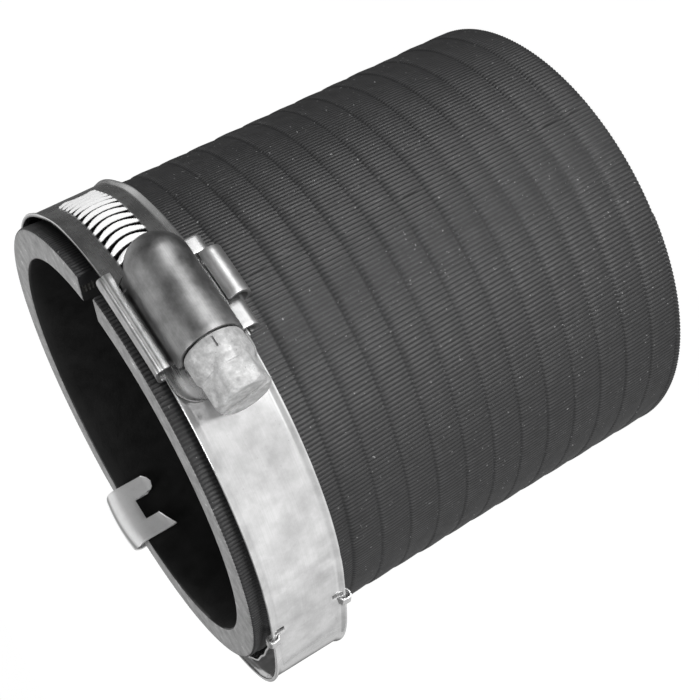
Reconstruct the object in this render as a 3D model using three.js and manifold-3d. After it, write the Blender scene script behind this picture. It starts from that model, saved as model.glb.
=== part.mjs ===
// Hose coupling: a reinforced rubber sleeve with a worm-drive band clamp near one end.
// Millimetres, +Z along the bore from the bare end to the clamped end, origin at the centre
// of the bare end face. The clamp's housing stands on the -Y side of the sleeve.
import * as THREE from 'three';
import { mergeVertices } from 'three/addons/utils/BufferGeometryUtils.js';
import Module from 'manifold-3d';

const wasm = await Module();
wasm.setup();

// ---- Driving dimensions ----------------------------------------------------------------
const DEG = Math.PI / 180;
const RING_STEPS = 72;          // facets round a full turn
const ARC_STEP = 3 * DEG;       // facet length along a band
const GAP = 0.1;                // air between neighbouring pieces
const CLEAR = 20;               // half-length of a cutter that passes right through a piece

const hose = {
  length: 75,
  boreRadius: 30.2,
  linerRadius: 31.7,
  plyThickness: 0.6,
  plyGap: 0.05,
  outerRadius: 35,
  plyEndInset: 0.4,             // the plies stop short and the end faces are capped with rubber
  edge: 0.4,                    // break on the outer corners
};
const notch = { at: -15.5 * DEG, width: 4.4, depth: 3.6, cutHeight: 12, cutRadius: 33 };

// Clamp coordinates: x runs towards the screw head, y outwards through the housing, z along
// the bore from the band's middle. Angles round the band start at the housing and grow
// towards the screw head.
const band = {
  width: 11.8,
  middleZ: 67.1,
  thickness: 0.5,
  innerRadius: 35.6,
  start: -13 * DEG,
  fixedEnd: 162 * DEG,
};
const slot = { at: 80.3 * DEG, width: 0.8, from: 3.9, to: 5.5, cutFrom: 30, cutTo: 40 };
const hump = { middle: 114 * DEG, halfWidth: 41 * DEG, height: 3.9 };
const tail = {
  thickness: 0.55,
  start: 170 * DEG,
  rampStart: 312 * DEG,
  rampEnd: 328 * DEG,
  rise: 0.6,
  tip: 379.3 * DEG,
  tipCorner: 3.4,
};
const thread = {
  pitch: 1.75,
  meshRadius: 37.1,
  ridgeHeight: 0.45,
  ridgeBase: 0.9,
  ridgeCrest: 0.5,
  ridgeLength: 5.6,
  ridgeRoot: 0.15,              // how far a ridge reaches down into the strip
  first: 312 * DEG,
  last: 373 * DEG,
  skew: 0.09,                   // ridge slant, as slope along its length
};
const screw = {
  axisHeight: 40.2,
  coreRadius: 2.7,
  wireRadius: 0.4,
  wireCentre: 2.85,
  threadFrom: -5.25,
  threadTo: 7,
  tip: -7.2,
  tipChamfer: 0.6,
  collarFrom: 8.9,
  collarTo: 12.6,
  collarRadius: 4.1,
  coneLength: 0.9,              // the collar ends in a short cone that runs in under the hexagon
  coneRadius: 3.1,
  headTo: 16.35,
  acrossFlats: 7,
  headTurn: -4 * DEG,
  headChamfer: 0.8,
  slotTurn: 116,                // driver slot across the head, degrees round the screw's axis
  slotWidth: 0.85,
  slotDepth: 1.3,
  overlap: 0.3,                 // how far the screw's turned parts run into one another
};
const dome = {
  radius: 4.4,
  wall: 0.6,
  noseX: -4.2,
  openX: 8.4,
  footRadius: 36.9,
  skirtFrom: 34,
  passageHalf: 3.2,             // half-width of the raised passage the ridges run through
};
const flange = { thickness: 0.5, height: 37.1, from: -7.3, to: 7.5, left: 6.2, right: -5.4 };
const tabs = { outerRadius: 1.25, centreZ: -6.5, spans: [[-7.3, -4.8], [3.5, 7.3]] };
const saddle = {
  innerRadius: 35.1,
  thickness: 0.4,
  halfAngle: 11.5 * DEG,
  wallZ: 6.4,
  wallThickness: 0.5,
  hemFoot: 33,
  hemHeight: 38.4,
  hemReach: 4.8,
  plateEdge: -6.5,
};
const knuckle = { thickness: 0.5, outerRadius: 1.85, centreZ: -7.15, from: -4.4, to: 3.1 };
const liner = {
  thickness: 0.3,
  width: 10.6,
  from: 80 * DEG,
  to: 152 * DEG,
  earWidth: 1.6,
  earAngles: [82.4 * DEG, 149.5 * DEG],
};
const clip = {
  from: 170 * DEG,
  to: 190 * DEG,
  outerTaper: 2.5 * DEG,        // the outer leg is narrower by this much on each side
  thickness: 0.4,
  archHeight: 2.0,
  innerLeg: 5.5,
  middleLeg: 2.9,
  middleFrom: 176.5 * DEG,
  middleTo: 183.7 * DEG,
  outerLeg: 11.5,
};

// ---- Solids ----------------------------------------------------------------------------
function solid(geometry) {
  const bare = geometry.index ? geometry : geometry.clone();
  bare.deleteAttribute('normal');
  bare.deleteAttribute('uv');
  const merged = mergeVertices(bare, 1e-4);
  return new wasm.Manifold(new wasm.Mesh({
    numProp: 3,
    vertProperties: Float32Array.from(merged.attributes.position.array),
    triVerts: Uint32Array.from(merged.index.array),
  }));
}

function geometryOf(manifold) {
  const mesh = manifold.getMesh();
  const geometry = new THREE.BufferGeometry();
  geometry.setAttribute('position', new THREE.BufferAttribute(mesh.vertProperties, 3));
  geometry.setIndex(new THREE.BufferAttribute(mesh.triVerts, 1));
  geometry.computeVertexNormals();
  return geometry;
}

// A full ring about Z from a closed outline of [radius, z] points, listed anticlockwise.
function ring(outline, steps = RING_STEPS) {
  const points = [...outline, outline[0]].map(([r, z]) => new THREE.Vector2(r, z));
  const geometry = new THREE.LatheGeometry(points, steps);
  geometry.rotateX(Math.PI / 2);
  return solid(geometry);
}

// A solid of revolution about X from [x, radius] points that start and end on the axis.
function turned(profile, steps) {
  const points = profile.map(([x, r]) => new THREE.Vector2(r, x));
  const geometry = new THREE.LatheGeometry(points, steps);
  geometry.rotateZ(-Math.PI / 2);
  return solid(geometry);
}

function box(x0, x1, y0, y1, z0, z1) {
  const geometry = new THREE.BoxGeometry(x1 - x0, y1 - y0, z1 - z0);
  geometry.translate((x0 + x1) / 2, (y0 + y1) / 2, (z0 + z1) / 2);
  return solid(geometry);
}

function extruded(points, z0, z1) {
  const shape = new THREE.Shape(points.map(([x, y]) => new THREE.Vector2(x, y)));
  const geometry = new THREE.ExtrudeGeometry(shape, { depth: z1 - z0, bevelEnabled: false });
  geometry.translate(0, 0, z0);
  return solid(geometry);
}

// A plate bent to an outline of [z, y] points and running along X from x0 to x1.
function alongX(outline, x0, x1) {
  const points = outline.map(([z, y]) => new THREE.Vector2(-z, y));
  const geometry = new THREE.ExtrudeGeometry(new THREE.Shape(points), {
    depth: x1 - x0,
    bevelEnabled: false,
  });
  geometry.rotateY(Math.PI / 2);
  geometry.translate(x0, 0, 0);
  return solid(geometry);
}

const polar = (angle, radius) => [radius * Math.sin(angle), radius * Math.cos(angle)];

function angles(from, to) {
  const steps = Math.max(1, Math.round((to - from) / ARC_STEP));
  return Array.from({ length: steps + 1 }, (_, i) => from + ((to - from) * i) / steps);
}

// A strip round the sleeve between two radius functions of the angle.
function strip(from, to, inner, outer, width) {
  const way = angles(from, to);
  const outside = way.map((a) => polar(a, outer(a)));
  const inside = way.map((a) => polar(a, inner(a))).reverse();
  return extruded([...outside, ...inside], -width / 2, width / 2);
}

function wedge(from, to, reach = 60) {
  return extruded([[0, 0], ...angles(from, to).map((a) => polar(a, reach))], -reach, reach);
}

function cylinder(radius, z0, z1, steps = RING_STEPS) {
  const geometry = new THREE.CylinderGeometry(radius, radius, z1 - z0, steps);
  geometry.rotateX(Math.PI / 2);
  geometry.translate(0, 0, (z0 + z1) / 2);
  return solid(geometry);
}

function arc(centreZ, centreY, radius, from, to, steps = 8) {
  return Array.from({ length: steps + 1 }, (_, i) => {
    const a = from + ((to - from) * i) / steps;
    return [centreZ + radius * Math.cos(a), centreY + radius * Math.sin(a)];
  });
}

// ---- Sleeve ----------------------------------------------------------------------------
function notchCut() {
  const geometry = new THREE.BoxGeometry(notch.width, notch.cutHeight, 2 * notch.depth);
  geometry.translate(0, notch.cutRadius, sleeveTop);
  geometry.rotateZ(-notch.at);
  return solid(geometry);
}

const sleeveBottom = -band.middleZ;
const sleeveTop = hose.length - band.middleZ;

function plyInner(index) {
  return hose.linerRadius + hose.plyGap + index * (hose.plyThickness + hose.plyGap);
}

function ply(index) {
  const inner = plyInner(index);
  const outer = inner + hose.plyThickness;
  const bottom = sleeveBottom + hose.plyEndInset;
  const top = sleeveTop - hose.plyEndInset;
  return ring([[inner, bottom], [outer, bottom], [outer, top], [inner, top]]).subtract(notchCut());
}

// The inner tube, with a lip at each end that caps the plies.
function hoseLiner() {
  const lip = plyInner(2) - hose.plyGap;
  const lipDepth = hose.plyEndInset - hose.plyGap;
  return ring([
    [hose.boreRadius, sleeveBottom],
    [lip, sleeveBottom],
    [lip, sleeveBottom + lipDepth],
    [hose.linerRadius, sleeveBottom + lipDepth],
    [hose.linerRadius, sleeveTop - lipDepth],
    [lip, sleeveTop - lipDepth],
    [lip, sleeveTop],
    [hose.boreRadius, sleeveTop],
  ]).subtract(notchCut());
}

function hoseCover() {
  const { outerRadius, edge } = hose;
  return ring([
    [plyInner(2), sleeveBottom],
    [outerRadius - edge, sleeveBottom],
    [outerRadius, sleeveBottom + edge],
    [outerRadius, sleeveTop - edge],
    [outerRadius - edge, sleeveTop],
    [plyInner(2), sleeveTop],
  ]).subtract(notchCut());
}

const innerPly = () => ply(0);
const outerPly = () => ply(1);

// ---- Band ------------------------------------------------------------------------------
function humpRise(angle) {
  const offset = Math.abs(angle - hump.middle) / hump.halfWidth;
  return offset < 1 ? hump.height * (0.5 + 0.5 * Math.cos(Math.PI * offset)) : 0;
}

function tailRise(angle) {
  const along = (angle - tail.rampStart) / (tail.rampEnd - tail.rampStart);
  return tail.rise * THREE.MathUtils.smoothstep(along, 0, 1);
}

const bandInner = (angle) => band.innerRadius + humpRise(angle);
const bandOuter = (angle) => bandInner(angle) + band.thickness;

// The band's fixed piece, with two short slots that the spring liner's ears tuck into.
function clampBand() {
  let body = strip(band.start, band.fixedEnd, bandInner, bandOuter, band.width);
  for (const [z0, z1] of [[slot.from, slot.to], [-slot.to, -slot.from]]) {
    const cut = box(-slot.width / 2, slot.width / 2, slot.cutFrom, slot.cutTo, z0, z1);
    body = body.subtract(cut.rotate([0, 0, -slot.at / DEG]));
  }
  return body;
}

const tailInner = (angle) => band.innerRadius + tailRise(angle);
const tailOuter = (angle) => tailInner(angle) + tail.thickness;

function threadRidge(angle) {
  const foot = tailOuter(angle) - thread.ridgeRoot;
  const crest = tailOuter(angle) + thread.ridgeHeight;
  const shape = new THREE.Shape([
    new THREE.Vector2(-thread.ridgeBase / 2, foot),
    new THREE.Vector2(thread.ridgeBase / 2, foot),
    new THREE.Vector2(thread.ridgeCrest / 2, crest),
    new THREE.Vector2(-thread.ridgeCrest / 2, crest),
  ]);
  const geometry = new THREE.ExtrudeGeometry(shape, { depth: thread.ridgeLength, bevelEnabled: false });
  geometry.translate(0, 0, -thread.ridgeLength / 2);
  geometry.applyMatrix4(new THREE.Matrix4().makeShear(0, 0, 0, 0, -thread.skew, 0));
  geometry.rotateZ(-angle);
  return solid(geometry);
}

// The tail's plan outline near its tip, as [distance before the tip, z].
function tipCut() {
  const r = tail.tipCorner;
  const half = band.width / 2;
  const shape = new THREE.Shape();
  shape.moveTo(-60, -half);
  shape.lineTo(-r, -half);
  shape.absarc(-r, -half + r, r, -Math.PI / 2, 0);
  shape.absarc(-r, half - r, r, 0, Math.PI / 2);
  shape.lineTo(-60, half);
  const geometry = new THREE.ExtrudeGeometry(shape, { depth: 20, bevelEnabled: false, curveSegments: 6 });
  geometry.rotateX(-Math.PI / 2);
  geometry.translate(0, 30, 0);
  geometry.rotateZ(-tail.tip);
  return solid(geometry);
}

function bandTail() {
  const straightFrom = tail.tip - 20 * DEG;
  let body = strip(tail.start, straightFrom, tailInner, tailOuter, band.width);
  const end = strip(straightFrom, tail.tip, tailInner, tailOuter, band.width).intersect(tipCut());
  body = body.add(end);
  const pitchAngle = thread.pitch / thread.meshRadius;
  const before = Math.floor((2 * Math.PI - thread.first) / pitchAngle);
  for (let i = -before; 2 * Math.PI + (i + 0.5) * pitchAngle < thread.last; i += 1) {
    body = body.add(threadRidge(2 * Math.PI + (i + 0.5) * pitchAngle));
  }
  return body;
}

// ---- Spring liner ----------------------------------------------------------------------
function linerMiddle(angle) {
  const stops = [
    [79, 35.6], [85, 35.5], [92, 35.25], [99, 35.4], [107, 36.1], [118, 37.5],
    [127, 38.3], [137, 36.7], [145, 35.45], [152, 35.42],
  ];
  const degrees = angle / DEG;
  const after = stops.findIndex(([at]) => at >= degrees - 1e-6);
  const [a1, r1] = stops[Math.max(after, 1)];
  const [a0, r0] = stops[Math.max(after, 1) - 1];
  return r0 + (r1 - r0) * THREE.MathUtils.smoothstep((degrees - a0) / (a1 - a0), 0, 1);
}

// A hook that rises past one edge of the band and turns back over its outer face.
function linerEar(angle, side) {
  const half = liner.width / 2;
  const edge = band.width / 2 + GAP;
  const t = liner.thickness;
  const bottom = bandInner(angle) - 1.5 * GAP - t;
  const top = bandOuter(angle) + 2 * GAP + t;
  const outline = [
    [half - 1, bottom], [edge + t, bottom], [edge + t, top], [edge - 1.1, top],
    [edge - 1.1, top - t], [edge, top - t], [edge, bottom + t], [half - 1, bottom + t],
  ].map(([z, y]) => [side * z, y]);
  const ordered = side > 0 ? outline : outline.reverse();
  const piece = alongX(ordered, -liner.earWidth / 2, liner.earWidth / 2);
  return piece.rotate([0, 0, -angle / DEG]);
}

function springLiner() {
  const inner = (a) => linerMiddle(a) - liner.thickness / 2;
  const outer = (a) => linerMiddle(a) + liner.thickness / 2;
  let body = strip(liner.from, liner.to, inner, outer, liner.width);
  for (const angle of liner.earAngles) {
    body = body.add(linerEar(angle, 1)).add(linerEar(angle, -1));
  }
  return body;
}

// ---- Retaining clip --------------------------------------------------------------------
function retainingClip() {
  const rim = sleeveTop;
  const t = clip.thickness;
  const inside = hose.boreRadius - GAP;
  const outside = hose.outerRadius + GAP;
  const middle = (inside + outside) / 2;
  const half = (outside - inside) / 2;
  const arch = (grow, steps = 10) => Array.from({ length: steps + 1 }, (_, i) => {
    const a = (Math.PI * i) / steps;
    const rise = clip.archHeight - t + grow - GAP;
    return [middle + (half + grow) * Math.cos(a), rim + GAP + rise * Math.sin(a)];
  });
  const outline = [
    [outside, rim - clip.outerLeg],
    [outside + t, rim - clip.outerLeg],
    ...arch(t),
    [inside - t, rim - clip.innerLeg],
    [inside, rim - clip.innerLeg],
    ...arch(0).reverse(),
  ];
  const gap = ring([
    [inside - 2, rim - clip.innerLeg - 1], [inside + 0.02, rim - clip.innerLeg - 1],
    [inside + 0.02, rim - clip.middleLeg], [inside - 2, rim - clip.middleLeg],
  ]).intersect(wedge(clip.middleFrom, clip.middleTo));
  const core = cylinder(middle, -CLEAR, CLEAR);
  const whole = ring(outline);
  const inner = whole.intersect(core).intersect(wedge(clip.from, clip.to)).subtract(gap);
  const outerWedge = wedge(clip.from + clip.outerTaper, clip.to - clip.outerTaper);
  return whole.subtract(core).intersect(outerWedge).add(inner);
}

// ---- Housing ---------------------------------------------------------------------------
function domeSolid(radius, openX) {
  const { noseX } = dome;
  const barrel = turned([[noseX, 0], [noseX, radius], [openX, radius], [openX, 0]], 32)
    .translate([0, screw.axisHeight, 0]);
  const nose = solid(new THREE.SphereGeometry(radius, 32, 16)).translate([noseX, screw.axisHeight, 0]);
  const foot = dome.skirtFrom;
  const skirt = box(noseX, openX, foot, screw.axisHeight, -radius, radius);
  const round = solid(new THREE.CylinderGeometry(radius, radius, screw.axisHeight - foot, 32))
    .translate([noseX, (screw.axisHeight + foot) / 2, 0]);
  return barrel.add(nose).add(skirt).add(round);
}

// A curled tab: a thin tube section about an axis along X.
function curl(centreZ, centreY, radius, from, to, x0, x1) {
  const outline = [
    ...arc(centreZ, centreY, radius, from, to),
    ...arc(centreZ, centreY, radius - knuckle.thickness, to, from),
  ];
  return alongX(outline.reverse(), x0, x1);
}

function clampHousing() {
  const shell = domeSolid(dome.radius, dome.openX)
    .subtract(domeSolid(dome.radius - dome.wall, dome.openX + 1))
    .subtract(cylinder(dome.footRadius, -CLEAR, CLEAR));
  const crest = dome.footRadius + thread.ridgeHeight;
  const ridgePassage = cylinder(crest, -dome.passageHalf, dome.passageHalf);
  const top = flange.height + flange.thickness;
  const inner = dome.radius - dome.wall;
  const left = box(flange.from, flange.to, flange.height, top, inner, flange.left);
  const right = box(flange.from, flange.to, flange.height, top, flange.right, -inner);
  let body = shell.subtract(ridgePassage).add(left).add(right);
  const tabY = top - tabs.outerRadius;
  for (const [x0, x1] of tabs.spans) {
    const arm = box(x0, x1, flange.height, top, tabs.centreZ, flange.right + GAP);
    const roll = curl(tabs.centreZ, tabY, tabs.outerRadius, Math.PI / 2, 1.5 * Math.PI, x0, x1);
    body = body.add(arm).add(roll);
  }
  return body;
}

function housingSaddle() {
  const { innerRadius, thickness, halfAngle, wallZ, wallThickness } = saddle;
  const { hemFoot, hemReach, plateEdge } = saddle;
  const outerRadius = innerRadius + thickness;
  const hemTop = saddle.hemHeight;
  const plate = ring([
    [innerRadius, plateEdge], [outerRadius, plateEdge], [outerRadius, wallZ], [innerRadius, wallZ],
  ]).intersect(wedge(-halfAngle, halfAngle));
  const hem = alongX([
    [wallZ, hemFoot], [wallZ + wallThickness, hemFoot], [wallZ + wallThickness, hemTop],
    [hemReach, hemTop], [hemReach, hemTop - wallThickness], [wallZ, hemTop - wallThickness],
  ].reverse(), flange.from, flange.to).subtract(cylinder(innerRadius, -CLEAR, CLEAR));
  const { centreZ, from, to } = knuckle;
  const rollY = innerRadius + knuckle.outerRadius;
  const roll = curl(centreZ, rollY, knuckle.outerRadius, 0.2 * Math.PI, 1.5 * Math.PI, from, to);
  const arm = box(from, to, innerRadius, outerRadius, centreZ, plateEdge + GAP);
  return plate.add(hem).add(roll).add(arm);
}

// ---- Worm screw ------------------------------------------------------------------------
class WormHelix extends THREE.Curve {
  getPoint(t, target = new THREE.Vector3()) {
    const x = screw.threadFrom + t * (screw.threadTo - screw.threadFrom);
    const turn = (2 * Math.PI * x) / thread.pitch;
    return target.set(x, -screw.wireCentre * Math.cos(turn), -screw.wireCentre * Math.sin(turn));
  }
}

function wormThread() {
  const section = new THREE.Shape();
  section.absarc(0, 0, screw.wireRadius, 0, 2 * Math.PI);
  const turns = (screw.threadTo - screw.threadFrom) / thread.pitch;
  return solid(new THREE.ExtrudeGeometry(section, {
    steps: Math.round(turns * 20),
    curveSegments: 4,
    extrudePath: new WormHelix(),
    bevelEnabled: false,
  }));
}

function hexHead() {
  const { headTo, headChamfer, acrossFlats, slotWidth, slotDepth } = screw;
  const corner = acrossFlats / 2 / Math.cos(Math.PI / 6);
  const from = screw.collarTo - screw.coneLength;
  const hex = new THREE.CylinderGeometry(corner, corner, headTo - from, 6);
  hex.rotateY(screw.headTurn);
  hex.rotateZ(-Math.PI / 2);
  hex.translate((from + headTo) / 2, 0, 0);
  const envelope = turned([
    [from, 0], [from, corner], [headTo - headChamfer, corner], [headTo, acrossFlats / 2 - GAP], [headTo, 0],
  ], 48);
  const driverSlot = box(headTo - slotDepth, headTo + 1, -corner, corner, -slotWidth / 2, slotWidth / 2);
  return solid(hex).intersect(envelope).subtract(driverSlot.rotate([screw.slotTurn, 0, 0]));
}

function wormScrew() {
  const { coreRadius, tip, tipChamfer, collarFrom, collarTo, collarRadius, coneLength, overlap } = screw;
  const shaftTo = collarFrom + overlap;
  const shaft = turned([
    [tip, 0], [tip, coreRadius - tipChamfer], [tip + tipChamfer, coreRadius], [shaftTo, coreRadius],
    [shaftTo, 0],
  ], 32);
  const collar = turned([
    [collarFrom, 0], [collarFrom, collarRadius - overlap], [collarFrom + overlap, collarRadius],
    [collarTo - coneLength, collarRadius], [collarTo, screw.coneRadius], [collarTo, 0],
  ], 48);
  return shaft.add(wormThread()).add(collar).add(hexHead()).translate([0, screw.axisHeight, 0]);
}

// ---- Assembly --------------------------------------------------------------------------
const rubber = { color: 0x2b2b2d, roughness: 0.75, metalness: 0 };
const fabric = { color: 0xb9b4a6, roughness: 0.95, metalness: 0 };
const stainless = { color: 0xc6c8ca, roughness: 0.28, metalness: 1 };
const springSteel = { color: 0x9a9da0, roughness: 0.35, metalness: 1 };
const plated = { color: 0xb4b6b4, roughness: 0.4, metalness: 1 };

const pieces = [
  ['hose_liner', hoseLiner, rubber],
  ['inner_ply', innerPly, fabric],
  ['outer_ply', outerPly, fabric],
  ['hose_cover', hoseCover, rubber],
  ['clamp_band', clampBand, stainless],
  ['band_tail', bandTail, stainless],
  ['spring_liner', springLiner, springSteel],
  ['retaining_clip', retainingClip, springSteel],
  ['clamp_housing', clampHousing, stainless],
  ['housing_saddle', housingSaddle, stainless],
  ['worm_screw', wormScrew, plated],
];

// The clamp's coordinates turn half round Z so that the housing faces -Y.
const clampFrame = new THREE.Group();
clampFrame.position.z = band.middleZ;
clampFrame.rotation.z = Math.PI;
for (const [name, build, look] of pieces) {
  const mesh = new THREE.Mesh(geometryOf(build()), new THREE.MeshStandardMaterial(look));
  mesh.name = name;
  clampFrame.add(mesh);
}

const coupling = new THREE.Group();
coupling.name = 'hose_coupling';
coupling.add(clampFrame);

export default coupling;
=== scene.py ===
"""Hose coupling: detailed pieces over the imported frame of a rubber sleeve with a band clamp.

Pieces are drawn in millimetres in the clamp's own coordinates: x towards the screw head,
y outwards through the housing, z along the bore from the band's middle. Angles round the
band are in degrees, start at the housing and grow towards the screw head.
"""
import math
import bpy
import bmesh
from mathutils import Matrix, Quaternion, Vector, noise


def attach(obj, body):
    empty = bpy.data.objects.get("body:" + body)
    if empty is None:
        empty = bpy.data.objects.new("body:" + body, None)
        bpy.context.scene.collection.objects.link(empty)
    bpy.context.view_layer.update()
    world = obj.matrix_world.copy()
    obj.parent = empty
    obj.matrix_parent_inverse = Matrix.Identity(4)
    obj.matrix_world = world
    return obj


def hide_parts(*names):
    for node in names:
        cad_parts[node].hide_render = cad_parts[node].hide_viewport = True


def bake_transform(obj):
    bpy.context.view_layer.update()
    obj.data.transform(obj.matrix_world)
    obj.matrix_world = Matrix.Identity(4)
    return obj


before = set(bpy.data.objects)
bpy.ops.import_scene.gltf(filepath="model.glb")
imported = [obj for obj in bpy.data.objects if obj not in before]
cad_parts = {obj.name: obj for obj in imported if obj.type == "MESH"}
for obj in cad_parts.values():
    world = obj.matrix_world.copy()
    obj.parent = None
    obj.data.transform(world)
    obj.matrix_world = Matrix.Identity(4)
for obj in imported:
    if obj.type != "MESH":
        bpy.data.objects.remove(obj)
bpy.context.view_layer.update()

# ---- Sizes, in millimetres and degrees ---------------------------------------------------
MM = 0.001
WELD = 0.002                    # points closer than this are one point
SLEEVE_TOP = 7.9                # the clamped end face, above the band's middle
BAND_MIDDLE = 67.1              # the band's middle, above the bare end face

HOSE = dict(length=75, bore=30.2, liner=31.7, lip=33.0, cover_inner=33.01, outer=34.82, edge=0.4)
# The outer ribs: how many, points across one, their depth, and their lean along the bore.
RIBS = dict(count=355, profile=(0.0, 0.7, 1.0, 0.7), depth=0.17, slope=0.012)
# The tape wraps: rows are shares of one turn's width, and the last numbers paint light and shade on the
# ribs at each row: low values paint them darker at the wrap's edge, high values paint brighter crests.
WRAP = dict(pitch=4.8, bulge=0.12, step=0.18, unevenness=0.35, wander=0.05,
            rows=(0.02, 0.09, 0.35, 0.7, 0.96), painted_rib_light=(0.45, 0.9, 1.0, 1.0, 1.3))
BORE = dict(steps=220, rows=42, start=0.5, overlap=0.35, face=(31, 31.9), face_wave=0.04,
            ring_height=0.025, ring_pitch=2.4, wave=0.06)
NOTCH = dict(at=-15.5, width=4.4, depth=3.6, cut=(28, 38))

BAND = dict(half=5.9, inner=35.6, thickness=0.46, start=-13, fixed_end=160, bridge_end=215,
            round_edge=0.07, wave=0.025)
CREASE = dict(at=65.5, depth=0.09, half_angle=2.2)
HUMP = dict(middle=114, half=41, height=3.9)
TAIL = dict(ramp_start=312, ramp_end=328, rise=0.6, tip=379.3, corner=3.4)
# The ridges: places across one ridge are shares of the pitch, from -0.5 to 0.5.
THREAD = dict(pitch=1.75, radius=37.1, first=312, last=373, height=0.34, groove=0.1, length=6.2,
              skew=0.09, bow=1.1, taper=0.45, end=0.35, rise_from=-0.49, rise=0.18,
              fall_from=-0.36, fall=0.72, face_end=0.14, face_fade=0.10)
PLAIN = 0.5                     # the relief of band metal that is neither ridge nor groove
SLOT = dict(at=80.1, half_angle=0.85, inside=3.9, outside=5.5)
# The band's flared edge: distance in from the edge, and how far the metal stands up there.
FLARE = ((0, 0.30), (0.12, 0.36), (0.4, 0.27), (0.75, 0.08), (1.05, -0.05), (1.35, -0.04), (1.7, 0))

LINER = dict(thickness=0.3, start=81.4, end=152, columns=(0, 1.8, 3.6, 4.4, 5.0, 5.3),
             beads={4.4: -0.12, 3.6: -0.05})
EAR = dict(angles=(82.4, 149.5), half=0.85, below=0.12, above=0.44, outside=0.30, bulge=0.25)
LINER_STOPS = ((81, 35.6), (85, 35.5), (92, 35.25), (99, 35.4), (107, 36.1), (118, 37.5),
               (127, 38.3), (137, 36.7), (145, 35.45), (152, 35.42))

SCREW = dict(height=40.2, core=2.7, wire=0.4, wire_at=2.85, thread_from=-5.25, thread_to=7,
             tip=-7.2, collar_from=8.55, collar_to=12.6, collar=4.1, end=16.35, flats=7, vertex=26,
             slot_angle=116, slot_width=0.85, slot_depth=1.3,
             mark=(0.4, 1.9), mark_depth=0.35, mark_half=0.19, mark_angle=8)
DOME = dict(radius=4.4, wall=0.55, nose=-4.2, open=8.4, foot=36.98, passage=37.4, passage_half=3.3,
            open_foot=38.3)
FLANGE = dict(y=37.1, thickness=0.5, start=-7.3, end=7.5, left=6.2, right=5.4)
TABS = dict(radius=1.25, centre=-6.5, spans=((-7.3, -4.8), (3.5, 7.3)))
SADDLE = dict(inner=35.1, thickness=0.4)
# The saddle's section: under the band, up its side in a bead, and over in a flat lip.
HEM = ((-6.4, 35.5), (0, 35.5), (6.2, 35.5), (6.55, 35.6), (6.85, 35.95), (7.02, 36.4), (7.14, 36.9),
       (7.18, 37.4), (7.1, 37.8), (6.9, 38.08), (6.62, 38.2), (6.4, 38.16), (6.28, 38.3), (6.1, 38.46),
       (5.8, 38.48), (5.2, 38.44))
KNUCKLE = dict(radius=1.85, centre=-7.15, start=-4.4, end=3.1, thickness=0.5, curl=(36, 268))
# The clip's two prongs lie either side of the gap between these angles.
CLIP = dict(thickness=0.4, arch=2.0, power=0.75, inner_leg=5.5, middle_leg=2.9, outer_leg=11.5,
            start=170, centre=180, end=190, gap=(176.5, 183.7), crown=0.2, narrow=(0.34, 0.12),
            prong_end=1.6, rounding=1.1, point=1.5)


# ---- Points and curves -------------------------------------------------------------------
def polar(angle, radius, z):
    a = math.radians(angle)
    return (radius * math.sin(a), radius * math.cos(a), z)


def smoothstep(t):
    t = min(max(t, 0.0), 1.0)
    return t * t * (3 - 2 * t)


def spread(start, end, steps):
    return [start + (end - start) * i / steps for i in range(steps + 1)]


def arc(cx, cy, radius, start, end, steps):
    angles = [math.radians(a) for a in spread(start, end, steps)]
    return [(cx + radius * math.cos(a), cy + radius * math.sin(a)) for a in angles]


def place(point):
    """Clamp coordinates in millimetres to the frame's metres."""
    x, y, z = point
    return Vector((-x, -y, z + BAND_MIDDLE)) * MM


# ---- Meshes ------------------------------------------------------------------------------
def mesh_object(name, points, faces, values=None):
    """A closed mesh; values is an optional number for each point, kept as "relief"."""
    mesh = bpy.data.meshes.new(name)
    mesh.from_pydata([place(p) for p in points], [], faces)
    if values:
        mesh.attributes.new("relief", "FLOAT", "POINT").data.foreach_set("value", values)
    work = bmesh.new()
    work.from_mesh(mesh)
    bmesh.ops.remove_doubles(work, verts=work.verts, dist=WELD * MM)
    bmesh.ops.recalc_face_normals(work, faces=work.faces)
    work.to_mesh(mesh)
    work.free()
    ob = bpy.data.objects.new(name, mesh)
    bpy.context.collection.objects.link(ob)
    return ob


def shell(name, outer, inner, keep=lambda i, j: True, seam=False, values=None):
    """A closed sheet between two grids of points; keep(i, j) says which cells exist.
    With a seam, the grid's first column meets itself and needs no wall."""
    rows, cols = len(outer), len(outer[0])
    points = [p for grid in (outer, inner) for row in grid for p in row]
    depth = rows * cols
    cells = {(i, j): True for i in range(rows - 1) for j in range(cols - 1) if keep(i, j)}
    faces = []
    for i, j in cells:
        quad = [i * cols + j, i * cols + j + 1, (i + 1) * cols + j + 1, (i + 1) * cols + j]
        faces.append(quad)
        faces.append([depth + v for v in reversed(quad)])
        for side, (di, dj) in enumerate(((-1, 0), (0, 1), (1, 0), (0, -1))):
            if seam and j + dj < 0:
                continue
            if (i + di, j + dj) not in cells:
                a, b = quad[side], quad[(side + 1) % 4]
                faces.append([b, a, depth + a, depth + b])
    return mesh_object(name, points, faces, values)


def sheet_path(name, path, thickness, along, place_at, keep=lambda i, j: True):
    """A strip of metal bent along path, which is points on its outer face, and drawn along
    `along`; place_at turns (along, u, v) into a point."""
    normals = []
    for k in range(len(path)):
        a, b = path[max(k - 1, 0)], path[min(k + 1, len(path) - 1)]
        du, dv = b[0] - a[0], b[1] - a[1]
        size = math.hypot(du, dv)
        normals.append((dv / size, -du / size))
    inside = [(u - n[0] * thickness, v - n[1] * thickness) for (u, v), n in zip(path, normals)]
    outer = [[place_at(s, u, v) for s in along] for u, v in path]
    inner = [[place_at(s, u, v) for s in along] for u, v in inside]
    return shell(name, outer, inner, keep)


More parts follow.
